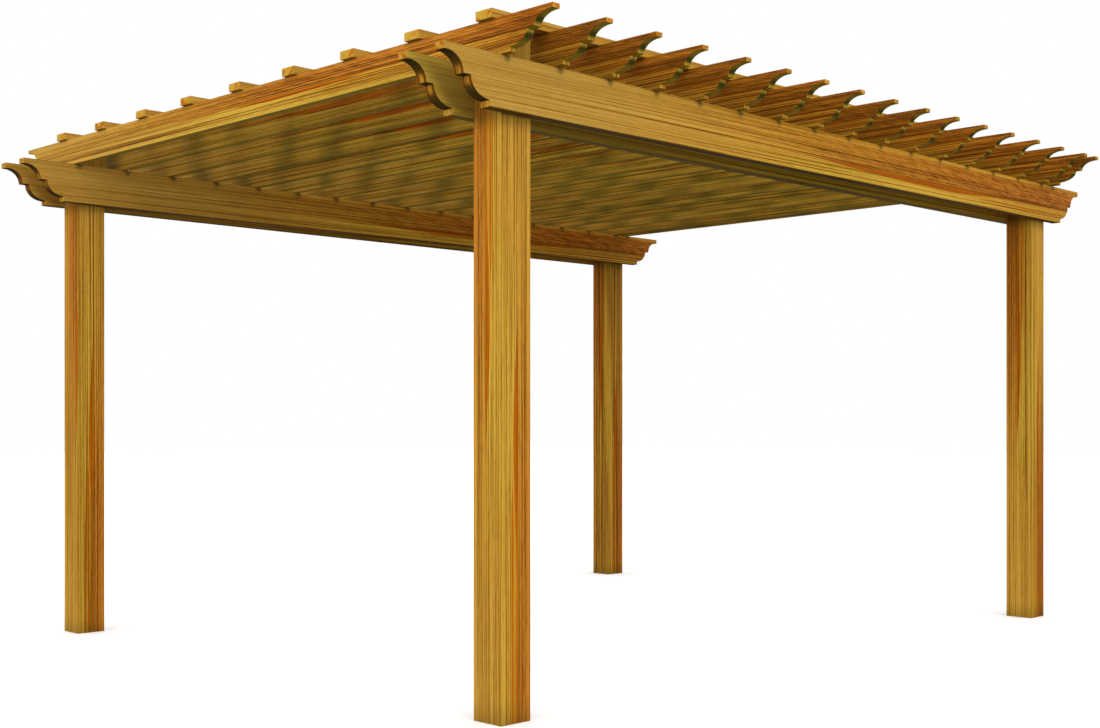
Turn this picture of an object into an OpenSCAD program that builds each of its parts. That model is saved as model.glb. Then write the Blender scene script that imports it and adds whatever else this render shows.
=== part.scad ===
// Wooden garden pergola: four posts, two pairs of beams, seventeen rafters and nine slats.
// X runs along the beams, Y along the rafters and Z up. The origin lies on the ground,
// at the centre of the plan.

/* [Frame] */
// Distance between post centres along the beams
span_x = 4136; // [3000:1:5200]
// Distance between post centres along the rafters
span_y = 3242; // [2400:1:4200]
// Clear height from the ground to the underside of the beams
clear_height = 2262; // [1900:1:2800]

/* [Posts] */
// Side of a square post
post_side = 152; // [130:1:200]
// Depth by which each rafter of the end pair is let into the right-hand posts
housing_depth = 26; // [10:1:36]

/* [Beams] */
// Thickness of a beam
beam_thick = 51; // [38:1:75]
// Depth of a beam
beam_depth = 200; // [140:1:260]
// Distance from a post centre to the tip of a beam
beam_reach = 400; // [330:1:600]

/* [Rafters] */
// Number of rafters from the left end, at an even pitch
rafter_count = 16; // [8:1:20]
// Thickness of a rafter
rafter_thick = 38; // [25:1:50]
// Depth of a rafter
rafter_depth = 136; // [100:1:180]
// Distance from a post centre to the tip of a rafter
rafter_reach = 392; // [330:1:600]
// Gap between the first rafter and the left-hand posts
rafter_gap = 13; // [0:1:30]

/* [Slats] */
// Number of slats
slat_count = 9; // [4:1:14]
// Thickness of a slat, which lies flat
slat_thick = 36; // [20:1:50]
// Width of a slat
slat_width = 88; // [50:1:120]
// Length of a slat past the outer face of each end rafter
slat_overhang = 15; // [0:1:60]
// Distance of the first slat's centre in front of the front posts' centres
slat_front_offset = 50; // [0:1:100]
// Distance of the last slat's centre in front of the back posts' centres
slat_back_offset = 13; // [0:1:100]

/* [Scrolled ends] */
// Length of the scroll cut into the lower edge of a board's end
scroll_length = 220; // [180:1:280]
// Length of the flat land behind the tip
scroll_land = 14; // [4:1:30]
// Run of the hollow along the board
hollow_run = 79; // [40:1:100]
// Run of the square step between the hollow and the round
step_run = 35; // [10:1:50]
// Share of the board's depth that the tip keeps
nose_share = 0.14; // [0.08:0.01:0.2]
// Share of the board's depth above the step
step_share = 0.5; // [0.4:0.01:0.6]
// Share of the board's depth above the heel
heel_share = 0.88; // [0.8:0.01:0.95]

/* [Hidden] */
// Facets along one quarter curve of a scroll
arc_steps = 14;

beam_top = clear_height + beam_depth;
rafter_top = beam_top + rafter_depth;

beam_length = span_x + 2 * beam_reach;
rafter_length = span_y + 2 * rafter_reach;

// Inner and outer beams lie flush on the two faces of the posts
outer_beam_y = span_y / 2 + post_side / 2;
inner_beam_y = span_y / 2 - post_side / 2 - beam_thick;

// Left face of the first rafter, and of the two that grip the right-hand post heads
first_rafter_x = -span_x / 2 - post_side / 2 - rafter_gap - rafter_thick;
inner_grip_x = span_x / 2 - post_side / 2 + housing_depth - rafter_thick;
outer_grip_x = span_x / 2 + post_side / 2 - housing_depth;
rafter_pitch = (inner_grip_x - first_rafter_x) / (rafter_count - 1);

slat_start_x = first_rafter_x - slat_overhang;
slat_length = outer_grip_x + rafter_thick + slat_overhang - slat_start_x;
slat_first_y = -span_y / 2 - slat_front_offset;
slat_last_y = span_y / 2 - slat_back_offset;
slat_pitch = (slat_last_y - slat_first_y) / (slat_count - 1);

post_color = [0.74, 0.56, 0.28];
beam_color = [0.80, 0.62, 0.33];
rafter_color = [0.72, 0.46, 0.20];
slat_color = [0.78, 0.58, 0.30];

function two_digits(n) = str(n < 10 ? "0" : "", n);
function rafter_name(n) = str("rafter_", two_digits(n));
function slat_name(n) = str("slat_", two_digits(n));

// Lower outline of a scrolled end as [distance from the tip, height], from the tip inwards:
// nose, land, hollow, square step, round and heel
function scroll_outline(depth) =
    let (
        nose_z = depth * (1 - nose_share),
        step_z = depth * (1 - step_share),
        heel_z = depth * (1 - heel_share),
        hollow_end = scroll_land + hollow_run,
        round_start = hollow_end + step_run,
        round_run = scroll_length - round_start
    )
    concat(
        [[0, nose_z]],
        [for (i = [0 : arc_steps]) let (a = 90 * i / arc_steps)
            [scroll_land + hollow_run * sin(a), nose_z - (nose_z - step_z) * (1 - cos(a))]],
        [for (i = [0 : arc_steps]) let (a = 90 * i / arc_steps)
            [round_start + round_run * (1 - cos(a)), step_z - (step_z - heel_z) * sin(a)]],
        [[scroll_length, 0]]
    );

// A board on edge with both ends scrolled: centred along X, front face on the XZ plane
module scrolled_board(length, depth, thick) {
    outline = scroll_outline(depth);
    last = len(outline) - 1;
    left_end = [for (p = outline) [p[0] - length / 2, p[1]]];
    right_end = [for (i = [0 : last]) [length / 2 - outline[last - i][0], outline[last - i][1]]];
    top_edge = [[length / 2, depth], [-length / 2, depth]];
    translate([0, thick, 0])
        rotate([90, 0, 0])
            linear_extrude(thick)
                polygon(concat(left_end, right_end, top_edge));
}

// A square post, centred on its own axis, from the ground to the top of the rafters
module plain_post() {
    translate([-post_side / 2, -post_side / 2, 0])
        cube([post_side, post_side, rafter_top]);
}

// A post whose head is cut back on two faces for the rafters that grip it
module housed_post() {
    neck = post_side - 2 * housing_depth;
    translate([-post_side / 2, -post_side / 2, 0])
        cube([post_side, post_side, beam_top]);
    translate([-neck / 2, -post_side / 2, beam_top])
        cube([neck, post_side, rafter_depth]);
}

module post_left(y) {
    color(post_color)
        translate([-span_x / 2, y, 0])
            plain_post();
}

module post_right(y) {
    color(post_color)
        translate([span_x / 2, y, 0])
            housed_post();
}

// A beam whose front face lies at y
module beam(y) {
    color(beam_color)
        translate([0, y, clear_height])
            scrolled_board(beam_length, beam_depth, beam_thick);
}

// Rafter n, counted from the left; the last one stands on the outer side of the post heads
module rafter(n) {
    x = n > rafter_count ? outer_grip_x : first_rafter_x + (n - 1) * rafter_pitch;
    color(rafter_color)
        translate([x + rafter_thick, 0, beam_top])
            rotate([0, 0, 90])
                scrolled_board(rafter_length, rafter_depth, rafter_thick);
}

// Slat n, counted from the front
module slat(n) {
    y = slat_first_y + (n - 1) * slat_pitch - slat_width / 2;
    color(slat_color)
        translate([slat_start_x, y, rafter_top])
            cube([slat_length, slat_width, slat_thick]);
}

post_left(-span_y / 2);  // post_front_left
post_right(-span_y / 2);  // post_front_right
post_left(span_y / 2);  // post_back_left
post_right(span_y / 2);  // post_back_right
beam(-outer_beam_y - beam_thick);  // beam_front_outer
beam(-inner_beam_y - beam_thick);  // beam_front_inner
beam(inner_beam_y);  // beam_back_inner
beam(outer_beam_y);  // beam_back_outer
for (n = [1 : rafter_count + 1])
    rafter(n);
for (n = [1 : slat_count])
    slat(n);
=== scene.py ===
from math import radians

import bmesh
import bpy
from mathutils import Matrix, Vector


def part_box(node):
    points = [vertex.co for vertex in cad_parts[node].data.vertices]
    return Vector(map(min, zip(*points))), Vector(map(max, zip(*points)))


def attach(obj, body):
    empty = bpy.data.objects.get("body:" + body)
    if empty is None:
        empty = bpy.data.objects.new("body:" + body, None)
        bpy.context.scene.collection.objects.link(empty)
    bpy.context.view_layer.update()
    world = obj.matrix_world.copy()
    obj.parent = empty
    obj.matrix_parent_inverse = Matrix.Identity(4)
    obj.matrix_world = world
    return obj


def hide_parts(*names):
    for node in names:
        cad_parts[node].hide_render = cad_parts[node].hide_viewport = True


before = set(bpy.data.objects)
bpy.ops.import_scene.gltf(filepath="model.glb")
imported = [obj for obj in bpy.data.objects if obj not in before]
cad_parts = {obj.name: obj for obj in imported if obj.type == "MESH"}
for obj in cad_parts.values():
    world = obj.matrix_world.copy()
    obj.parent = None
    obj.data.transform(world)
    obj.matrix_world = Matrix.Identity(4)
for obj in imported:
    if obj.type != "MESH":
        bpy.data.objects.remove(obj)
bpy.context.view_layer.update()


# ---------------------------------------------------------------- posts
# Four square posts of solid softwood, sawn, planed and stained honey. Each stands on its own
# end on the ground and runs up between a pair of beams to the rafters' tops. The two right-hand
# heads are cut back on both sides into a neck, which the last two rafters grip.
arris_width = 0.003
arris_segments = 2
arris_angle = radians(40)
# The pith lies this far outside a sawn end's corner, so that the rings cross the end as arcs
pith_off = 0.02
# How strongly the short plumb heel behind a scroll is marked, against 1 on the scroll's curves
heel_mark = 0.4


def deselect_all():
    bpy.ops.object.select_all(action="DESELECT")


def make_active(piece):
    deselect_all()
    piece.select_set(True)
    bpy.context.view_layer.objects.active = piece


def block(name, low, high):
    """A squared length of timber between its lowest and its highest corner."""
    deselect_all()
    centre = (low + high) / 2
    bpy.ops.mesh.primitive_cube_add(size=1, location=centre, scale=high - low)
    piece = bpy.context.object
    piece.name = name
    bpy.ops.object.transform_apply(location=True, rotation=True, scale=True)
    return piece


def ease_arrises(piece):
    """Rounds the sharp edges as a planer leaves them, and keeps the flats flat in the shading."""
    make_active(piece)
    bevel = piece.modifiers.new("eased arrises", "BEVEL")
    bevel.width = arris_width
    bevel.segments = arris_segments
    bevel.limit_method = "ANGLE"
    bevel.angle_limit = arris_angle
    bpy.ops.object.modifier_apply(modifier=bevel.name)
    bpy.ops.object.shade_smooth_by_angle(angle=arris_angle)
    weights = piece.modifiers.new("flat faces lead", "WEIGHTED_NORMAL")
    weights.keep_sharp = True
    bpy.ops.object.modifier_apply(modifier=weights.name)


def lay_grain(piece, girth_of, kind_of):
    """Writes the grain map, in metres round and along a timber, and marks its curves and ends."""
    mesh = piece.data
    grain = mesh.uv_layers.new(name="grain")
    curves = mesh.attributes.new("curve", "FLOAT", "FACE")
    levels = mesh.attributes.new("level", "FLOAT", "FACE")
    ends = mesh.attributes.new("end", "FLOAT", "FACE")
    for face in mesh.polygons:
        kind = kind_of(face.center, face.normal)
        curves.data[face.index].value = {"curve": 1.0, "heel": heel_mark}.get(kind, 0.0)
        levels.data[face.index].value = abs(face.normal.z)
        ends.data[face.index].value = float(kind == "end")
        for loop in face.loop_indices:
            place = mesh.vertices[mesh.loops[loop].vertex_index].co
            grain.data[loop].uv = girth_of(place, kind, face.normal)


def mark_board(piece, number):
    """Numbers one timber, so that its figure differs from its neighbours'."""
    mark = piece.data.attributes.new("board", "FLOAT", "FACE")
    mark.data.foreach_set("value", [float(number)] * len(mark.data))


def finish_timber(piece, material, node):
    """Stains a timber and puts it in its node's place."""
    piece.data.materials.clear()
    piece.data.materials.append(material)
    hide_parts(node)
    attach(piece, "root")


def tone(red, green, blue):
    """A stain colour from its display values, 0 to 255."""
    def linear(value):
        share = value / 255
        return share / 12.92 if share <= 0.04045 else ((share + 0.055) / 1.055) ** 2.4
    return (linear(red), linear(green), linear(blue), 1.0)


def feed(tree, socket, value):
    if isinstance(value, bpy.types.NodeSocket):
        tree.links.new(value, socket)
    else:
        socket.default_value = value


def math_node(tree, operation, *values, clamp=False):
    made = tree.nodes.new("ShaderNodeMath")
    made.operation = operation
    made.use_clamp = clamp
    for socket, value in zip(made.inputs, values):
        feed(tree, socket, value)
    return made.outputs[0]


def product(tree, first, second):
    return math_node(tree, "MULTIPLY", first, second)


def ratio(tree, first, second):
    return math_node(tree, "DIVIDE", first, second)


def difference(tree, first, second):
    return math_node(tree, "SUBTRACT", first, second)


def larger(tree, first, second):
    return math_node(tree, "MAXIMUM", first, second)


def weighted(tree, value, weight, base):
    """A value times its weight, on top of a base."""
    return math_node(tree, "MULTIPLY_ADD", value, weight, base)


def distance(tree, value, centre):
    return math_node(tree, "ABSOLUTE", difference(tree, value, centre))


def spread(tree, value, low, high):
    """0 below low, 1 above high and a soft step between them."""
    made = tree.nodes.new("ShaderNodeMapRange")
    made.interpolation_type = "SMOOTHSTEP"
    feed(tree, made.inputs["Value"], value)
    feed(tree, made.inputs["From Min"], low)
    feed(tree, made.inputs["From Max"], high)
    return made.outputs["Result"]


def fade(tree, value, low, high):
    """1 below low, 0 above high and a soft step between them."""
    return difference(tree, 1.0, spread(tree, value, low, high))


def noise(tree, x, y, z, detail=2.0, roughness=0.5):
    place = tree.nodes.new("ShaderNodeCombineXYZ")
    for socket, value in zip(place.inputs, (x, y, z)):
        feed(tree, socket, value)
    made = tree.nodes.new("ShaderNodeTexNoise")
    tree.links.new(place.outputs[0], made.inputs["Vector"])
    made.inputs["Scale"].default_value = 1.0
    made.inputs["Detail"].default_value = detail
    made.inputs["Roughness"].default_value = roughness
    return made.outputs["Fac"]


def mix_colour(tree, factor, first, second, blend="MIX"):
    made = tree.nodes.new("ShaderNodeMix")
    made.data_type = "RGBA"
    made.blend_type = blend
    feed(tree, made.inputs["Factor"], factor)
    feed(tree, made.inputs[6], first)
    feed(tree, made.inputs[7], second)
    return made.outputs[2]


def new_group(name, inputs, outputs):
    """A shader node group with named sockets, given as (name, kind, default)."""
    tree = bpy.data.node_groups.new(name, "ShaderNodeTree")
    kinds = {"value": "NodeSocketFloat", "colour": "NodeSocketColor", "vector": "NodeSocketVector"}
    for label, kind, default in inputs:
        socket = tree.interface.new_socket(label, in_out="INPUT", socket_type=kinds[kind])
        if default is not None:
            socket.default_value = default
    for label, kind in outputs:
        tree.interface.new_socket(label, in_out="OUTPUT", socket_type=kinds[kind])
    entry = tree.nodes.new("NodeGroupInput")
    way_out = tree.nodes.new("NodeGroupOutput")
    return tree, entry.outputs, way_out.inputs


def place_group(tree, group, **values):
    """Puts a group in a material. Underscores in the names stand for spaces."""
    made = tree.nodes.new("ShaderNodeGroup")
    made.node_tree = group
    for label, value in values.items():
        feed(tree, made.inputs[label.replace("_", " ").capitalize()], value)
    return made.outputs


# Where the figure of one sawn board lies, the same on every face of this batch of timber. Its
# place across and along is a share of the board, counted along from the pale end. A resin streak
# swells past the middle, parts into strands towards the other end, and has the heartwood above
# it and the sapwood below. Dark lines follow it, so many shares of the width below its upper edge.
edge_drift = 0.06
edge_fray = 0.04
streak_lean = 0.05
swell_run_out = 0.17
swell_thickness = 0.125
thread_thickness = 0.042
second_strand_at = 0.195
line_half_width = 0.009
layout_group, given, made = new_group(
    "board_layout",
    [
        ("Across", "value", 0.0), ("Along", "value", 0.0), ("Board", "value", 0.0),
        ("Streak at", "value", 0.5), ("Swell at", "value", 0.65), ("Line at", "value", 0.8),
        ("Line ends", "value", 1.0), ("Heart from", "value", 0.2), ("Gold edge", "value", 0.1),
        ("Rise", "value", 0.26), ("Strand", "value", 0.055), ("Paleness", "value", 1.0),
        ("Redness", "value", 1.0), ("Curl", "value", 1.0), ("Fray", "value", 0.5),
    ],
    [
        ("Heartwood", "value"), ("Waviness", "value"), ("Streak", "value"), ("Sapwood", "value"),
        ("Pale", "value"), ("Dark line", "value"),
    ],
)
tree = layout_group
drift = noise(
    tree,
    product(tree, given["Across"], 1.5),
    product(tree, given["Along"], 3.0),
    product(tree, given["Board"], 5.7),
)
frayed = weighted(tree, drift, edge_drift, product(tree, given["Fray"], edge_fray))
frayed = difference(tree, frayed, (edge_drift + edge_fray) / 2)
place = math_node(tree, "ADD", given["Across"], frayed)
upper_edge = math_node(tree, "ADD", given["Streak at"], streak_lean)
upper_edge = weighted(tree, given["Along"], -streak_lean, upper_edge)
below = difference(tree, place, upper_edge)
past = difference(tree, given["Along"], given["Swell at"])

# The streak: a thread that starts short of the swell, the swell itself, and the strands past it
rise = product(tree, given["Rise"], -1.0)
swell = product(tree, spread(tree, past, rise, -0.02), fade(tree, past, 0.0, swell_run_out))
thread = product(tree, spread(tree, past, -0.26, -0.16), thread_thickness)
parted = product(tree, given["Strand"], 0.5)
thread = weighted(tree, spread(tree, past, 0.0, 0.1), parted, thread)
thickness = weighted(tree, swell, swell_thickness, thread)
beyond = difference(tree, below, thickness)
inside = product(tree, spread(tree, below, -0.012, 0.004), fade(tree, beyond, -0.012, 0.008))
strand_off = distance(tree, below, second_strand_at)
strand_half = weighted(tree, given["Strand"], 0.6, 0.014)
strand_half = product(tree, spread(tree, past, 0.0, 0.12), strand_half)
strand = spread(tree, difference(tree, strand_half, strand_off), -0.004, 0.018)
strand = larger(tree, inside, strand)
many = math_node(tree, "MULTIPLY", given["Strand"], 14.0, clamp=True)
for centre, half_width, share in ((0.110, 0.010, many), (0.275, 0.012, 0.7), (0.350, 0.010, 0.7)):
    off = distance(tree, below, centre)
    thin = fade(tree, off, half_width * 0.5, half_width * 1.5)
    thin = product(tree, thin, spread(tree, past, -0.02, 0.14))
    strand = larger(tree, strand, product(tree, thin, share))
tree.links.new(strand, made["Streak"])

# The heartwood above the streak, the sapwood below it and the pale end
past_edge = difference(tree, place, given["Gold edge"])
heart = product(tree, fade(tree, below, -0.05, 0.0), spread(tree, past_edge, -0.05, 0.05))
heart_rise = difference(tree, given["Along"], given["Heart from"])
heart = product(tree, heart, spread(tree, heart_rise, 0.0, 0.6))
red_end = product(tree, spread(tree, given["Along"], 0.62, 0.98), spread(tree, below, 0.0, 0.02))
heart = weighted(tree, red_end, 0.2, heart)
tree.links.new(product(tree, heart, given["Redness"]), made["Heartwood"])
tree.links.new(product(tree, heart, given["Curl"]), made["Waviness"])
sapwood = product(tree, spread(tree, below, 0.0, 0.08), spread(tree, given["Along"], 0.2, 0.5))
tree.links.new(sapwood, made["Sapwood"])
pale = product(tree, fade(tree, given["Along"], 0.06, 0.50), given["Paleness"])
tree.links.new(pale, made["Pale"])


def thin_line(tree, value, centre, half_width, strength):
    """A thin line where a value passes its centre, times a strength."""
    off = distance(tree, value, centre)
    return product(tree, fade(tree, off, half_width * 0.4, half_width * 1.6), strength)


line_end = difference(tree, given["Line ends"], given["Along"])
lines = thin_line(tree, place, given["Line at"], line_half_width, spread(tree, line_end, 0.0, 0.1))
for centre, half_width, start, full, strength in (
    (0.002, 0.011, 0.35, 0.55, 1.0),
    (-0.035, line_half_width, 0.0, 0.1, 1.0),
    (-0.140, line_half_width, 0.0, 0.1, 1.0),
    (-0.215, 0.008, 0.1, 0.2, 1.0),
    (0.270, 0.010, 0.2, 0.4, 0.9),
    (0.365, 0.008, 0.0, 0.1, 0.5),
):
    lasting = product(tree, spread(tree, given["Along"], start, full), strength)
    lines = larger(tree, lines, thin_line(tree, below, centre, half_width, lasting))
tree.links.new(lines, made["Dark line"])

# The grain itself, on the grain map in metres: broad bands, fine and broad growth lines, short
# dashes, thin straws, the slanting waves of heartwood and fine fibres. Tone is 0 in the palest
# early wood and 1 in the darkest late wood.
grain_group, given, made = new_group(
    "growth_lines",
    [
        ("Across", "value", 0.0), ("Along", "value", 0.0), ("Board", "value", 0.0),
        ("Plainness", "value", 0.0), ("Waviness", "value", 0.0),
    ],
    [("Tone", "value"), ("Fray", "value"), ("Fibres", "value")],
)
tree = grain_group
seed = product(tree, given["Board"], 7.31)


def stretched(tree, across, per_metre_across, per_metre_along, offset, detail=2.0, roughness=0.5):
    """Noise drawn out along the timber, with so many waves to the metre across and along it."""
    return noise(
        tree,
        product(tree, across, per_metre_across),
        product(tree, given["Along"], per_metre_along),
        math_node(tree, "ADD", seed, offset),
        detail, roughness,
    )


wander = stretched(tree, given["Across"], 6.0, 0.6, 0.0, detail=1.0)
path = weighted(tree, wander, 0.012, given["Across"])
bands = stretched(tree, path, 30.0, 0.35, 3.0)
fray = stretched(tree, path, 120.0, 0.8, 11.0, detail=3.0, roughness=0.65)
ripple = stretched(tree, path, 30.0, 9.0, 0.0, detail=1.0)
rippled = weighted(tree, product(tree, ripple, given["Waviness"]), 0.012, path)


def growth_rings(per_metre, sway, unevenness, dark, step, strengths):
    """Rings across the board, dark late in each year, every one of its own strength along it."""
    uneven = stretched(tree, path, *sway)
    rings = weighted(tree, path, per_metre, product(tree, uneven, unevenness))
    within = math_node(tree, "FRACT", rings)
    dark_from, dark_full, light_again = dark
    late = spread(tree, within, dark_from, dark_full)
    late = product(tree, late, fade(tree, within, light_again, 1.0))
    step_across, step_along, offset = step
    strength = noise(
        tree,
        product(tree, math_node(tree, "FLOOR", rings), step_across),
        product(tree, given["Along"], step_along),
        math_node(tree, "ADD", seed, offset),
    )
    return product(tree, late, spread(tree, strength, *strengths))


fine_rings = growth_rings(
    150.0, sway=(26.0, 0.2, 41.0), unevenness=2.4, dark=(0.36, 0.74, 0.86),
    step=(3.7, 0.7, 29.0), strengths=(0.38, 0.64),
)
broad_rings = growth_rings(
    46.0, sway=(14.0, 0.25, 83.0), unevenness=3.0, dark=(0.45, 0.74, 0.82),
    step=(5.3, 0.5, 97.0), strengths=(0.36, 0.62),
)
dashes = stretched(tree, path, 240.0, 16.0, 17.0, roughness=0.6)
straws = stretched(tree, path, 420.0, 2.2, 61.0, roughness=0.6)
slanted = weighted(tree, given["Along"], -0.13, rippled)
waves = stretched(tree, slanted, 170.0, 9.0, 53.0, roughness=0.5)
fibres = stretched(tree, rippled, 900.0, 60.0, 71.0, roughness=0.6)
plain = weighted(tree, given["Plainness"], -0.72, 1.0)
curled = product(tree, spread(tree, waves, 0.42, 0.58), given["Waviness"])
depth = product(tree, product(tree, spread(tree, bands, 0.3, 0.7), plain), 0.20)
for marking, weight in (
    (product(tree, fine_rings, plain), 0.56),
    (product(tree, broad_rings, plain), 0.34),
    (spread(tree, dashes, 0.36, 0.66), 0.13),
    (spread(tree, straws, 0.34, 0.66), 0.16),
    (curled, 0.40),
):
    depth = weighted(tree, marking, weight, depth)
tree.links.new(depth, made["Tone"])
tree.links.new(fray, made["Fray"])
tree.links.new(fibres, made["Fibres"])


def three_tones(tree, tone_value, light, middle, dark):
    """Runs a colour from light through middle to dark as the tone rises from 0 to 1."""
    first = mix_colour(tree, spread(tree, tone_value, 0.12, 0.46), light, middle)
    return mix_colour(tree, spread(tree, tone_value, 0.46, 0.92), first, dark)


# The honey stain over that wood: khaki at the pale end of a board, gold past it, yellow on
# sapwood, red-brown on heartwood and orange on resin, with its matching gloss and relief. Painted
# shade is a dark olive laid where shade falls, in corners, hollows and under other parts; the
# shade tint is a painted green-olive that stands in for the colour of shade on sheltered faces;
# and soak deepens the stain, both for the extra stain that open grain drinks and as painted shade
# where a timber asks for it. Pale wood is drawn towards one even tone.
pale_tone = 0.34
pale_evenness = 0.42
stain_group, given, made = new_group(
    "honey_stain",
    [
        ("Tone", "value", 0.5), ("Fibres", "value", 0.5), ("Board", "value", 0.0),
        ("Heartwood", "value", 0.0), ("Streak", "value", 0.0), ("Sapwood", "value", 0.0),
        ("Pale", "value", 0.0), ("Dark line", "value", 0.0), ("Shade", "value", 0.0),
        ("Film", "value", 0.0), ("Soak", "value", 0.0),
    ],
    [("Color", "colour"), ("Roughness", "value"), ("Height", "value")],
)
tree = stain_group
number = tree.nodes.new("ShaderNodeTexWhiteNoise")
number.noise_dimensions = "1D"
tree.links.new(given["Board"], number.inputs["W"])
depth = weighted(tree, number.outputs["Value"], 0.08, given["Tone"])
depth = weighted(tree, given["Dark line"], 0.54, depth)
calm = product(tree, given["Pale"], pale_evenness)
evened = product(tree, difference(tree, pale_tone, depth), calm)
depth = math_node(tree, "ADD", depth, evened)
# Soak deepens the stain: real extra stain in open grain, and painted shade where a timber asks for it
depth = math_node(tree, "ADD", given["Soak"], depth)
khaki = three_tones(tree, depth, tone(190, 150, 68), tone(164, 123, 46), tone(100, 68, 18))
gold = three_tones(tree, depth, tone(204, 154, 54), tone(174, 122, 32), tone(100, 58, 6))
red = three_tones(tree, depth, tone(188, 120, 36), tone(158, 92, 18), tone(92, 42, 4))
orange = three_tones(tree, depth, tone(184, 104, 4), tone(160, 82, 0), tone(100, 46, 0))
yellow = three_tones(tree, depth, tone(202, 162, 58), tone(176, 132, 36), tone(104, 62, 6))
body = mix_colour(tree, given["Sapwood"], gold, yellow)
body = mix_colour(tree, given["Pale"], body, khaki)
body = mix_colour(tree, given["Heartwood"], body, red)
# Painted shade tint: a green-olive that stands in for the colour of shade on sheltered faces
body = mix_colour(tree, given["Film"], body, tone(148, 142, 44))
body = mix_colour(tree, given["Streak"], body, orange)
# Painted shade: a dark olive where shade falls
body = mix_colour(tree, given["Shade"], body, tone(44, 50, 14))
fleck = weighted(tree, given["Fibres"], 0.30, 0.85)
light = tree.nodes.new("ShaderNodeCombineXYZ")
for socket in light.inputs:
    tree.links.new(fleck, socket)
body = mix_colour(tree, 1.0, body, light.outputs[0], "MULTIPLY")
tree.links.new(body, made["Color"])
rough = weighted(tree, given["Fibres"], 0.16, 0.62)
tree.links.new(weighted(tree, given["Tone"], 0.10, rough), made["Roughness"])
relief = weighted(tree, given["Tone"], -0.8, given["Fibres"])
tree.links.new(relief, made["Height"])


def read_mark(tree, name):
    made = tree.nodes.new("ShaderNodeAttribute")
    made.attribute_name = name
    return made.outputs["Fac"]


def object_place(tree):
    """The place on a timber in the model's frame, as separate X, Y and Z."""
    parts = tree.nodes.new("ShaderNodeSeparateXYZ")
    tree.links.new(tree.nodes.new("ShaderNodeTexCoord").outputs["Object"], parts.inputs[0])
    return parts.outputs


satin_gloss = 0.06
relief_strength = 0.4
relief_depth = 0.0008
# The tone about which a timber's contrast is raised
middle_tone = 0.36


def timber_material(name):
    """A satin stained material, and its grain map's two readings."""
    material = bpy.data.materials.new(name)
    material.use_nodes = True
    tree = material.node_tree
    shader = tree.nodes["Principled BSDF"]
    shader.inputs["Specular IOR Level"].default_value = satin_gloss
    grain = tree.nodes.new("ShaderNodeUVMap")
    grain.uv_map = "grain"
    parts = tree.nodes.new("ShaderNodeSeparateXYZ")
    tree.links.new(grain.outputs["UV"], parts.inputs[0])
    return material, tree, parts.outputs["X"], parts.outputs["Y"]


def stain_timber(
    tree, across, along, share_across, share_along, figure, shade,
    film=0.0, soak=0.0, resin=0.0, contrast=1.0,
):
    """Lays out, grains and stains one kind of timber, and joins the result to its shader."""
    board = read_mark(tree, "board")
    end = read_mark(tree, "end")
    across_grain = weighted(tree, read_mark(tree, "curve"), 1 / heel_mark, end)
    side = math_node(tree, "SUBTRACT", 1.0, across_grain, clamp=True)

    # On a sawn end the rings run round the pith, and resin shows in patches
    pith = tree.nodes.new("ShaderNodeCombineXYZ")
    tree.links.new(across, pith.inputs["X"])
    tree.links.new(along, pith.inputs["Y"])
    radius = tree.nodes.new("ShaderNodeVectorMath")
    radius.operation = "LENGTH"
    tree.links.new(pith.outputs[0], radius.inputs[0])
    turned = difference(tree, radius.outputs["Value"], across)
    across = weighted(tree, turned, end, across)
    patches = noise(
        tree,
        product(tree, across, 30.0),
        product(tree, along, 30.0),
        product(tree, board, 3.3),
    )
    end_patch = product(tree, spread(tree, patches, 0.50, 0.66), end)

    # The figure is laid out first, because the grain runs plainer and wavier in its heartwood
    loose = place_group(tree, grain_group, across=across, along=along, board=board)
    layout = place_group(
        tree, layout_group,
        across=share_across, along=share_along, board=board, fray=loose["Fray"], **figure,
    )
    plainness = weighted(tree, layout["Sapwood"], -0.7, layout["Waviness"])
    grain = place_group(
        tree, grain_group, across=across, along=along, board=board,
        plainness=larger(tree, plainness, end),
        waviness=layout["Waviness"],
    )
    streak = weighted(tree, layout["Streak"], side, end_patch)
    stain = place_group(
        tree, stain_group,
        tone=weighted(tree, grain["Tone"], contrast, middle_tone * (1.0 - contrast)),
        fibres=grain["Fibres"], board=board,
        heartwood=product(tree, layout["Heartwood"], side),
        streak=math_node(tree, "ADD", streak, resin),
        sapwood=layout["Sapwood"],
        pale=product(tree, layout["Pale"], side),
        dark_line=product(tree, layout["Dark line"], side),
        shade=shade, film=film, soak=soak,
    )
    shader = tree.nodes["Principled BSDF"]
    tree.links.new(stain["Color"], shader.inputs["Base Color"])
    tree.links.new(stain["Roughness"], shader.inputs["Roughness"])
    bump = tree.nodes.new("ShaderNodeBump")
    bump.inputs["Strength"].default_value = relief_strength
    bump.inputs["Distance"].default_value = relief_depth
    tree.links.new(stain["Height"], bump.inputs["Height"])
    tree.links.new(bump.outputs["Normal"], shader.inputs["Normal"])


post_low, post_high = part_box("post_front_left")
post_side = post_high.x - post_low.x
beam_low, beam_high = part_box("beam_front_outer")
beam_top = beam_high.z
beam_bottom = beam_low.z
# The figure of a post's front and back faces is counted down from this far above the beams
figure_rise = 0.28

post_wood, tree, across, along = timber_material("post_wood")
height = object_place(tree)["Z"]
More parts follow.
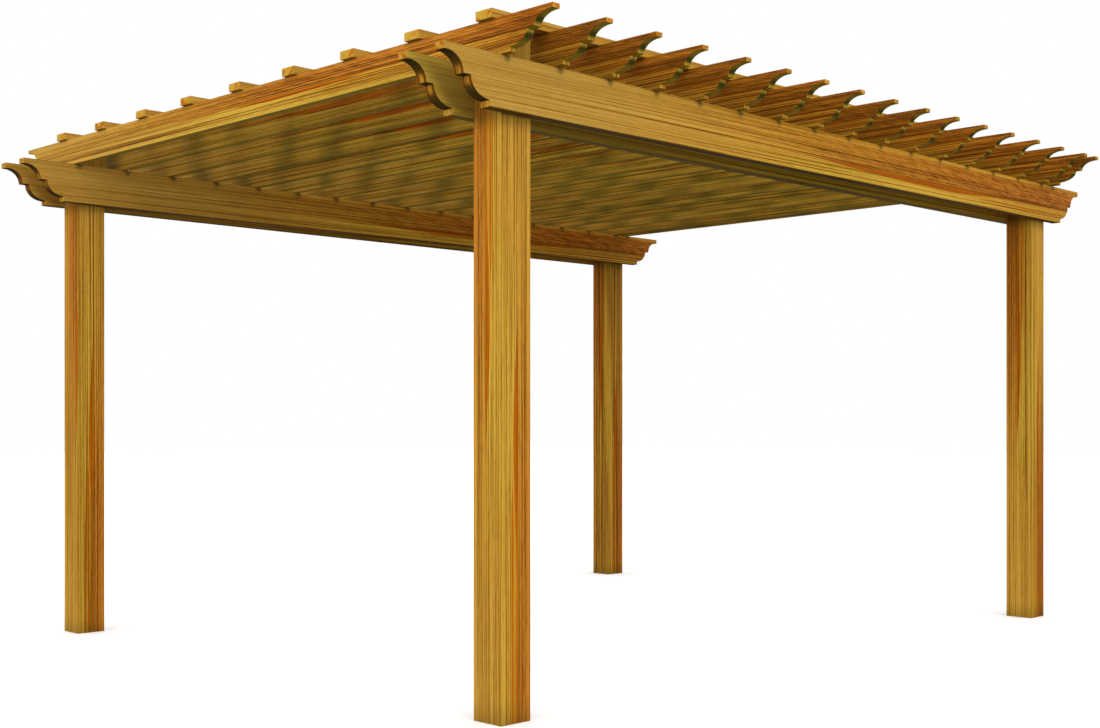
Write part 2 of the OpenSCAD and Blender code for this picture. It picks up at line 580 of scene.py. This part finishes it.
# Painted shade darkens the foot where the post meets the floor, and the head under the beams. The
# back right post, which stands in the canopy's shade, is painted darker all over.
foot = fade(tree, height, -0.01, 0.10)
head = spread(tree, height, beam_bottom - 0.07, beam_bottom + 0.01)
canopy_shaded_post = spread(tree, read_mark(tree, "board"), 3.4, 3.6)
stain_timber(
    tree, across, along,
    share_across=ratio(tree, across, post_side),
    share_along=ratio(tree, along, beam_bottom),
    figure={
        "streak_at": 0.41, "swell_at": 0.68, "line_at": 0.79, "line_ends": 0.5, "heart_from": 0.25,
        "gold_edge": -0.1, "rise": 0.24, "strand": 0.06, "paleness": 0.3, "curl": 0.25, "redness": 0.95,
    },
    shade=weighted(tree, foot, 0.36, product(tree, head, 0.46)),
    soak=weighted(tree, canopy_shaded_post, 0.24, -0.10),
    contrast=1.25,
)


def build_post(node, number, housed, set_over=0.0):
    """One post. On its left and right faces the figure may be set over by a share of the side."""
    low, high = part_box(node)
    seat = Vector((high.x, high.y, beam_top if housed else high.z))
    piece = block("timber_" + node, low, seat)
    if housed:
        neck_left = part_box("rafter_16")[1].x
        neck_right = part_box("rafter_17")[0].x
        bpy.ops.object.mode_set(mode="EDIT")
        for cut in (neck_left, neck_right):
            bpy.ops.mesh.select_all(action="SELECT")
            bpy.ops.mesh.bisect(plane_co=(cut, 0, 0), plane_no=(1, 0, 0))
        bpy.ops.mesh.select_mode(type="FACE")
        bpy.ops.mesh.select_all(action="DESELECT")
        shape = bmesh.from_edit_mesh(piece.data)
        for face in shape.faces:
            middle = face.calc_center_median()
            face.select = face.normal.z > 0.9 and neck_left < middle.x < neck_right
        bmesh.update_edit_mesh(piece.data)
        bpy.ops.mesh.extrude_region_move(
            TRANSFORM_OT_translate={"value": (0, 0, high.z - beam_top)}
        )
        bpy.ops.object.mode_set(mode="OBJECT")
    ease_arrises(piece)

    def kind(place, normal):
        return "end" if abs(normal.z) > 0.75 else "side"

    def girth(place, kind, normal):
        if kind == "end":
            return (place.x - low.x + pith_off, place.y - low.y + pith_off)
        if abs(normal.x) > abs(normal.y):
            inward = high.y - place.y if normal.x < 0 else place.y - low.y
            return (inward - set_over * post_side, place.z)
        inward = high.x - place.x if normal.y < 0 else place.x - low.x
        return (inward, beam_bottom + figure_rise - place.z)

    lay_grain(piece, girth, kind)
    mark_board(piece, number)
    finish_timber(piece, post_wood, node)


build_post("post_front_left", 1, False)
build_post("post_front_right", 2, True)
build_post("post_back_left", 3, False, set_over=0.42)
build_post("post_back_right", 4, True)


# ---------------------------------------------------------------- beams
# Softwood planks on edge, stained like the posts, clasp each row of posts in pairs. Both lower
# corners of a plank are bandsawn to a scroll: a hollow, a square step and a round, with a short
# plumb heel behind them.
beam_length = beam_high.x - beam_low.x
beam_depth = beam_high.z - beam_low.z
beam_thick = beam_high.y - beam_low.y
scroll_length = 0.220
scroll_land = 0.014
hollow_run = 0.079
step_run = 0.035
nose_share = 0.14
step_share = 0.50
heel_share = 0.88
arc_steps = 14
# Places nearer than this count as one, and a place this near the middle lies on it
hair = 1e-5
on_centre = 1e-6
# What lies this near a plank's tip or lower edge belongs to it, eased arris included
edge_band = 0.004


def last_point(piece):
    """The point that the outline has reached, which stays selected for the next stroke."""
    shape = bmesh.from_edit_mesh(piece.data)
    return next(vert.co.copy() for vert in shape.verts if vert.select)


def stroke(x, z):
    """Draws a straight line from the outline's last point."""
    bpy.ops.mesh.extrude_region_move(TRANSFORM_OT_translate={"value": (x, 0, z)})


def sweep(piece, run, drop, hollow):
    """Draws a quarter curve to the right and down: a hollow leaves level, a round leaves plumb."""
    start = last_point(piece)
    centre = start + (Vector((0, 0, -run)) if hollow else Vector((run, 0, 0)))
    turn = radians(-90) if hollow else radians(90)
    bpy.ops.mesh.spin(steps=arc_steps, angle=turn, center=centre, axis=(0, 1, 0))
    shape = bmesh.from_edit_mesh(piece.data)
    for vert in shape.verts:
        vert.select = vert.co.x > start.x - hair and vert.co.z < start.z + hair
    bmesh.update_edit_mesh(piece.data)
    bpy.ops.transform.resize(value=(1, 1, drop / run), center_override=start)
    shape = bmesh.from_edit_mesh(piece.data)
    end = max(shape.verts, key=lambda vert: vert.co.x - vert.co.z)
    for vert in shape.verts:
        vert.select = vert == end
    bmesh.update_edit_mesh(piece.data)


def scrolled_plank(name, length, depth, thick):
    """A plank on edge along X with both lower corners scrolled, its near face at y = 0."""
    deselect_all()
    nose_z = depth * (1 - nose_share)
    step_z = depth * (1 - step_share)
    heel_z = depth * (1 - heel_share)
    bpy.ops.mesh.primitive_plane_add(size=0.01, location=(-length / 2, 0, depth))
    piece = bpy.context.object
    piece.name = name
    bpy.ops.object.transform_apply(location=True, rotation=True, scale=True)
    bpy.ops.object.mode_set(mode="EDIT")
    bpy.ops.mesh.select_mode(type="VERT")
    bpy.ops.mesh.select_all(action="SELECT")
    bpy.ops.mesh.merge(type="CENTER")
    stroke(0, nose_z - depth)
    stroke(scroll_land, 0)
    sweep(piece, hollow_run, nose_z - step_z, hollow=True)
    stroke(step_run, 0)
    sweep(piece, scroll_length - scroll_land - hollow_run - step_run, step_z - heel_z, hollow=False)
    stroke(0, -heel_z)
    stroke(length / 2 - scroll_length, 0)
    stroke(0, depth)
    bpy.ops.mesh.select_all(action="SELECT")
    bpy.ops.mesh.edge_face_add()
    bpy.ops.mesh.select_all(action="SELECT")
    bpy.ops.mesh.extrude_region_move(TRANSFORM_OT_translate={"value": (0, thick, 0)})
    bpy.ops.mesh.select_mode(type="FACE")
    bpy.ops.mesh.select_all(action="DESELECT")
    shape = bmesh.from_edit_mesh(piece.data)
    for face in shape.faces:
        face.select = all(abs(vert.co.x) < on_centre for vert in face.verts)
    bmesh.update_edit_mesh(piece.data)
    bpy.ops.mesh.delete(type="FACE")
    bpy.ops.object.mode_set(mode="OBJECT")
    mirror = piece.modifiers.new("other half", "MIRROR")
    bpy.ops.object.modifier_apply(modifier=mirror.name)
    bpy.ops.object.mode_set(mode="EDIT")
    bpy.ops.mesh.select_all(action="SELECT")
    bpy.ops.mesh.remove_doubles(threshold=hair)
    bpy.ops.mesh.normals_make_consistent(inside=False)
    bpy.ops.mesh.dissolve_limited(angle_limit=radians(0.5))
    bpy.ops.object.mode_set(mode="OBJECT")
    return piece


def set_down(piece, quarter_turn, corner):
    """Turns a plank to run along Y if asked, and sets its lowest corner in place, in its mesh."""
    make_active(piece)
    piece.rotation_euler.z = radians(90) if quarter_turn else 0
    bpy.ops.object.transform_apply(location=True, rotation=True, scale=True)
    lowest = Vector([min(vert.co[i] for vert in piece.data.vertices) for i in range(3)])
    piece.location = corner - lowest
    bpy.ops.object.transform_apply(location=True, rotation=True, scale=True)


def copy_timber(original, name, shift):
    """A copy with its own mesh, shifted within the mesh."""
    piece = original.copy()
    piece.data = original.data.copy()
    piece.name = name
    bpy.context.scene.collection.objects.link(piece)
    piece.data.transform(Matrix.Translation(shift))
    return piece


def plank_girth(axis, low, high):
    """The grain map of a plank on edge, counted down each face from the upper edge."""
    thin = 1 - axis
    depth = high.z - low.z

    def girth(place, kind, normal):
        if kind == "end":
            return (place[thin] - low[thin] + pith_off, high.z - place.z + pith_off)
        if kind in ("curve", "heel"):
            return (place[thin] - low[thin], place[axis] - place.z)
        if abs(normal[thin]) > 0.5:
            return (high.z - place.z, place[axis])
        if normal.z > 0.5:
            return (low[thin] - place[thin], place[axis])
        return (depth + place[thin] - low[thin], place[axis])

    return girth


def plank_kind(axis, low, high):
    """Tells a plank's sawn tips and bandsawn scrolls from its long faces."""
    thin = 1 - axis

    def kind(place, normal):
        tip = min(place[axis] - low[axis], high[axis] - place[axis]) < edge_band
        heel = place.z < low.z + (1 - heel_share) * (high.z - low.z)
        if abs(normal[axis]) > 0.75 and (tip or heel):
            return "end" if tip else "heel"
        if abs(normal[thin]) < 0.5 and place.z > low.z + edge_band and normal.z < 0.75:
            return "curve"
        return "side"

    return kind


def row_distance(tree, along, first, pitch, count):
    """How far a place along the timber lies from the nearest of a row of evenly spaced places."""
    steps = ratio(tree, difference(tree, along, first), pitch)
    nearest = larger(tree, math_node(tree, "ROUND", steps), 0.0)
    nearest = math_node(tree, "MINIMUM", nearest, count - 1.0)
    off = product(tree, difference(tree, steps, nearest), pitch)
    return math_node(tree, "ABSOLUTE", off)


rafter_low, rafter_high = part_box("rafter_01")
rafter_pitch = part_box("rafter_02")[0].x - rafter_low.x
last_rafter_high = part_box("rafter_17")[1]
rafter_count = sum(node.startswith("rafter_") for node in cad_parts)
# The painted shade beside each rafter's seat is centred this far inside its right-hand face
seat_shade_offset = 0.003

beam_wood, tree, across, along = timber_material("beam_wood")
place = object_place(tree)
sawn = read_mark(tree, "curve")
scroll = spread(tree, sawn, 0.5, 0.9)
overhung = spread(tree, read_mark(tree, "level"), 0.30, 0.85)
underside = spread(tree, across, beam_depth - 0.002, beam_depth + 0.002)
# The back pair of beams is made a little darker
back_pair = spread(tree, read_mark(tree, "board"), 11.2, 11.8)

# Painted shade darkens the beam below each rafter's seat, where the rafter shades it. The last
# rafter stands outside the even row.
seat = row_distance(tree, along, rafter_high.x - seat_shade_offset, rafter_pitch, rafter_count - 1)
last_seat = distance(tree, along, last_rafter_high.x - seat_shade_offset)
seat = math_node(tree, "MINIMUM", seat, last_seat)
seat = weighted(tree, across, 0.25, seat)
contact_shade = product(tree, fade(tree, seat, 0.007, 0.026), fade(tree, across, 0.002, 0.040))

# A painted shade tint covers the front pair's inner beam and the back of its outer one, which face
# each other in shade, and thinly the undersides
inner_beam_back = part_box("beam_front_inner")[1].y
pair_middle = (beam_high.y + inner_beam_back) / 2
pair_half = inner_beam_back - pair_middle
from_pair = distance(tree, place["Y"], pair_middle)
film = product(tree, fade(tree, from_pair, pair_half + 0.001, pair_half + 0.004), 0.32)
film = product(tree, film, difference(tree, 1.0, sawn))
film = larger(tree, film, product(tree, underside, 0.1))

# A scroll drinks stain, most at its rims. Where it hangs over, and on the undersides, it is
# painted darker with deeper stain and dark olive, as painted shade; the outer beams' undersides
# get more of that painted shade than the inner ones'.
rim = math_node(tree, "ABSOLUTE", weighted(tree, across, 1 / beam_thick, -0.5))
dark_rim = product(tree, spread(tree, rim, 0.20, 0.32), fade(tree, rim, 0.40, 0.44))
drunk_and_shaded = weighted(tree, larger(tree, dark_rim, overhung), 0.8, 0.2)
drunk_and_shaded = weighted(tree, underside, 0.45, product(tree, drunk_and_shaded, scroll))
scroll_and_underside_shade = product(tree, product(tree, overhung, scroll), 0.65)
outer_beams_from = 1.60
from_middle = math_node(tree, "ABSOLUTE", place["Y"])
outermost = spread(tree, from_middle, outer_beams_from, outer_beams_from + 0.02)
scroll_and_underside_shade = weighted(tree, product(tree, outermost, underside), 0.25, scroll_and_underside_shade)
stain_timber(
    tree, across, along,
    share_across=ratio(tree, across, beam_depth),
    share_along=weighted(tree, along, 1 / beam_length, 0.5),
    figure={
        "streak_at": 0.60, "swell_at": 0.69, "line_at": 0.84, "line_ends": 0.55, "heart_from": 0.20,
        "gold_edge": 0.10, "rise": 0.27, "strand": 0.012, "paleness": 1.0, "curl": 1.0,
    },
    shade=weighted(tree, contact_shade, 0.70, scroll_and_underside_shade),
    film=film,
    soak=weighted(tree, back_pair, 0.09, difference(tree, drunk_and_shaded, 0.05)),
    resin=product(tree, spread(tree, rim, 0.40, 0.46), scroll),
    contrast=1.0,
)

beam_nodes = ["beam_front_outer", "beam_front_inner", "beam_back_inner", "beam_back_outer"]
first_beam = scrolled_plank("timber_" + beam_nodes[0], beam_length, beam_depth, beam_thick)
set_down(first_beam, False, beam_low)
ease_arrises(first_beam)
lay_grain(first_beam, plank_girth(0, beam_low, beam_high), plank_kind(0, beam_low, beam_high))
beams = [first_beam]
for node in beam_nodes[1:]:
    beams.append(copy_timber(first_beam, "timber_" + node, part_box(node)[0] - beam_low))
for number, (piece, node) in enumerate(zip(beams, beam_nodes)):
    mark_board(piece, 10 + number)
    finish_timber(piece, beam_wood, node)


# ---------------------------------------------------------------- rafters
# Seventeen rafters of thinner softwood plank stand on edge across the beams, each end scrolled like the
# beams'. Sixteen are spaced evenly from the left; the last stands outside the post heads.
rafter_length = rafter_high.y - rafter_low.y
rafter_depth = rafter_high.z - rafter_low.z
rafter_thick = rafter_high.x - rafter_low.x
slat_low, slat_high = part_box("slat_01")
slat_width = slat_high.y - slat_low.y
slat_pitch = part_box("slat_02")[0].y - slat_low.y
slat_count = sum(node.startswith("slat_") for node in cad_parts)

rafter_wood, tree, across, along = timber_material("rafter_wood")
sawn = read_mark(tree, "curve")
level = read_mark(tree, "level")
underside = spread(tree, across, rafter_depth - 0.002, rafter_depth + 0.002)
# The first rafter faces the open; the others lie in the canopy's shade and take a thin painted
# shade tint, and painted shade patches
covered = spread(tree, read_mark(tree, "board"), 21.2, 21.8)
# The long faces at the front ends are resinous and have drunk more stain
near_front = product(tree, fade(tree, along, -1.95, -1.45), fade(tree, sawn, 0.1, 0.3))

# Painted shade lies under each slat, and behind the front beams it spreads from there in soft
# painted shade patches
seat = row_distance(tree, along, (slat_low.y + slat_high.y) / 2, slat_pitch, slat_count)
contact_shade = fade(tree, seat, slat_width / 2, slat_width / 2 + 0.012)
contact_shade = product(tree, contact_shade, fade(tree, across, 0.0, 0.012))
board = product(tree, read_mark(tree, "board"), 2.3)
patchiness = noise(tree, product(tree, along, 2.0), board, product(tree, across, 4.0))
patchiness = product(tree, spread(tree, patchiness, 0.40, 0.60), spread(tree, along, -1.52, -1.36))
shade_patches = product(tree, fade(tree, seat, 0.01, 0.17), patchiness)
shade_patches = product(tree, shade_patches, covered)
shade = larger(tree, product(tree, contact_shade, 0.7), product(tree, shade_patches, 0.34))

# Painted shade on a scroll: darkest where it slants, with the painted shade tint strongest where
# it lies level. The undersides take the painted shade tint too.
from_slant = distance(tree, level, 0.65)
pocket_shade = weighted(tree, fade(tree, from_slant, 0.06, 0.40), 0.84, 0.10)
level_shade_tint = weighted(tree, level, 0.40, 0.22)
film = weighted(tree, shade_patches, 0.22, product(tree, covered, 0.09))
film = larger(tree, film, product(tree, underside, 0.45))
film = larger(tree, film, product(tree, level_shade_tint, sawn))
stain_timber(
    tree, across, product(tree, along, -1.0),
    share_across=ratio(tree, across, rafter_depth),
    share_along=weighted(tree, along, -1 / rafter_length, 0.5),
    figure={
        "streak_at": 0.45, "swell_at": 0.60, "line_at": 0.84, "line_ends": 0.6, "heart_from": 0.10,
        "gold_edge": -0.1, "rise": 0.12, "strand": 0.03, "paleness": 0.6, "curl": 0.4, "redness": 1.1,
    },
    shade=larger(tree, shade, product(tree, pocket_shade, sawn)),
    film=film,
    soak=weighted(tree, near_front, 0.26, -0.04),
    resin=product(tree, near_front, 0.25),
    contrast=1.45,
)

first_rafter = scrolled_plank("timber_rafter_01", rafter_length, rafter_depth, rafter_thick)
set_down(first_rafter, True, rafter_low)
ease_arrises(first_rafter)
rafter_girth = plank_girth(1, rafter_low, rafter_high)
lay_grain(first_rafter, rafter_girth, plank_kind(1, rafter_low, rafter_high))
rafters = [first_rafter]
for number in range(2, rafter_count + 1):
    node = f"rafter_{number:02d}"
    rafters.append(copy_timber(first_rafter, "timber_" + node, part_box(node)[0] - rafter_low))
for number, piece in enumerate(rafters, start=1):
    mark_board(piece, 20 + number)
    finish_timber(piece, rafter_wood, f"rafter_{number:02d}")


# ---------------------------------------------------------------- slats
# Nine slats of the thinnest softwood plank lie flat across the rafters, parallel to the beams.
# Their ends are sawn square and stand a little past the outer rafters.
slat_length = slat_high.x - slat_low.x


def slat_girth(place, kind, normal):
    """The grain map of a slat, counted across its broad faces from their front or back edge."""
    if kind == "end":
        return (place.y - slat_low.y + pith_off, place.z - slat_low.z + pith_off)
    if normal.z < -0.5:
        return (place.y - slat_low.y, place.x)
    if normal.z > 0.5:
        return (slat_high.y - place.y, place.x)
    return (slat_width + abs(place.z - slat_high.z), place.x)


def slat_kind(place, normal):
    return "end" if abs(normal.x) > 0.75 else "side"


slat_wood, tree, across, along = timber_material("slat_wood")
stain_timber(
    tree, across, along,
    share_across=ratio(tree, across, slat_width),
    share_along=weighted(tree, along, 1 / slat_length, 0.5),
    figure={
        "streak_at": 0.50, "swell_at": 0.65, "line_at": 0.84, "line_ends": 0.6, "heart_from": 0.30,
        "gold_edge": -0.1, "rise": 0.2, "strand": 0.05, "paleness": 0.6, "curl": 0.6,
    },
    shade=0.0,
)

first_slat = block("timber_slat_01", slat_low, slat_high)
ease_arrises(first_slat)
lay_grain(first_slat, slat_girth, slat_kind)
slats = [first_slat]
for number in range(2, slat_count + 1):
    node = f"slat_{number:02d}"
    slats.append(copy_timber(first_slat, "timber_" + node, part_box(node)[0] - slat_low))
for number, piece in enumerate(slats, start=1):
    mark_board(piece, 50 + number)
    finish_timber(piece, slat_wood, f"slat_{number:02d}")


# ---------------------------------------------------------------- stage, light and camera
# A pale studio floor that keeps the pergola's shadow, an even dome of light with two large soft
# lamps in front, and a level camera at the height of a person's chest near the left corner.
floor_side = 80.0
floor_seen = (0.80, 0.80, 0.80, 1)
floor_given_back = (0.22, 0.22, 0.22, 1)
floor_glow = 0.26
dome_strength = 1.17
dome_shown = 1.0

deselect_all()
bpy.ops.mesh.primitive_plane_add(size=floor_side, location=(0, 0, 0))
studio_floor = bpy.context.object
studio_floor.name = "studio_floor"
floor_paint = bpy.data.materials.new("floor_paint")
floor_paint.use_nodes = True
tree = floor_paint.node_tree
tree.nodes.clear()
seen = tree.nodes.new("ShaderNodeLightPath")
direct = seen.outputs["Is Camera Ray"]
matt = tree.nodes.new("ShaderNodeBsdfDiffuse")
paint = mix_colour(tree, direct, floor_given_back, floor_seen)
tree.links.new(paint, matt.inputs["Color"])
glow = tree.nodes.new("ShaderNodeEmission")
tree.links.new(product(tree, direct, floor_glow), glow.inputs["Strength"])
both = tree.nodes.new("ShaderNodeAddShader")
tree.links.new(matt.outputs[0], both.inputs[0])
tree.links.new(glow.outputs[0], both.inputs[1])
paint_out = tree.nodes.new("ShaderNodeOutputMaterial")
tree.links.new(both.outputs[0], paint_out.inputs["Surface"])
studio_floor.data.materials.append(floor_paint)

dome = bpy.data.worlds.new("studio_dome")
bpy.context.scene.world = dome
dome.use_nodes = True
tree = dome.node_tree
tree.nodes.clear()
seen = tree.nodes.new("ShaderNodeLightPath")
direct = larger(tree, seen.outputs["Is Camera Ray"], seen.outputs["Is Glossy Ray"])
sky = tree.nodes.new("ShaderNodeBackground")
sky.inputs["Color"].default_value = (1, 1, 1, 1)
strength = weighted(tree, direct, dome_shown - dome_strength, dome_strength)
tree.links.new(strength, sky.inputs["Strength"])
sky_out = tree.nodes.new("ShaderNodeOutputWorld")
tree.links.new(sky.outputs[0], sky_out.inputs["Surface"])


def softbox(name, place, target, side, watts):
    """A square soft lamp aimed at a target."""
    light = bpy.data.lights.new(name, "AREA")
    light.shape = "SQUARE"
    light.size = side
    light.energy = watts
    lamp = bpy.data.objects.new(name, light)
    bpy.context.scene.collection.objects.link(lamp)
    lamp.location = place
    lamp.rotation_euler = (Vector(target) - Vector(place)).to_track_quat("-Z", "Y").to_euler()


softbox("left_softbox", (-20, -1, 3.2), (0, 0, 1.5), 6.0, 980)
softbox("front_softbox", (-6, -19, 3.2), (0, 0, 1.5), 6.0, 1240)

# The camera stands this far to the left of the front left post, and this far before it
left_of_post = 3.771
before_post = 3.984
eye_height = 1.140
heading = radians(45.42 - 90)
front_left_post = (post_low + post_high) / 2
camera_data = bpy.data.cameras.new("viewpoint")
camera_data.sensor_width = 36.0
camera_data.lens = 47.785
camera_data.shift_x = 0.0169
camera_data.shift_y = 0.0485
camera = bpy.data.objects.new("viewpoint", camera_data)
bpy.context.scene.collection.objects.link(camera)
camera.location = (front_left_post.x - left_of_post, front_left_post.y - before_post, eye_height)
camera.rotation_euler = (radians(90), 0, heading)
bpy.context.scene.camera = camera
bpy.context.scene.view_settings.view_transform = "Standard"
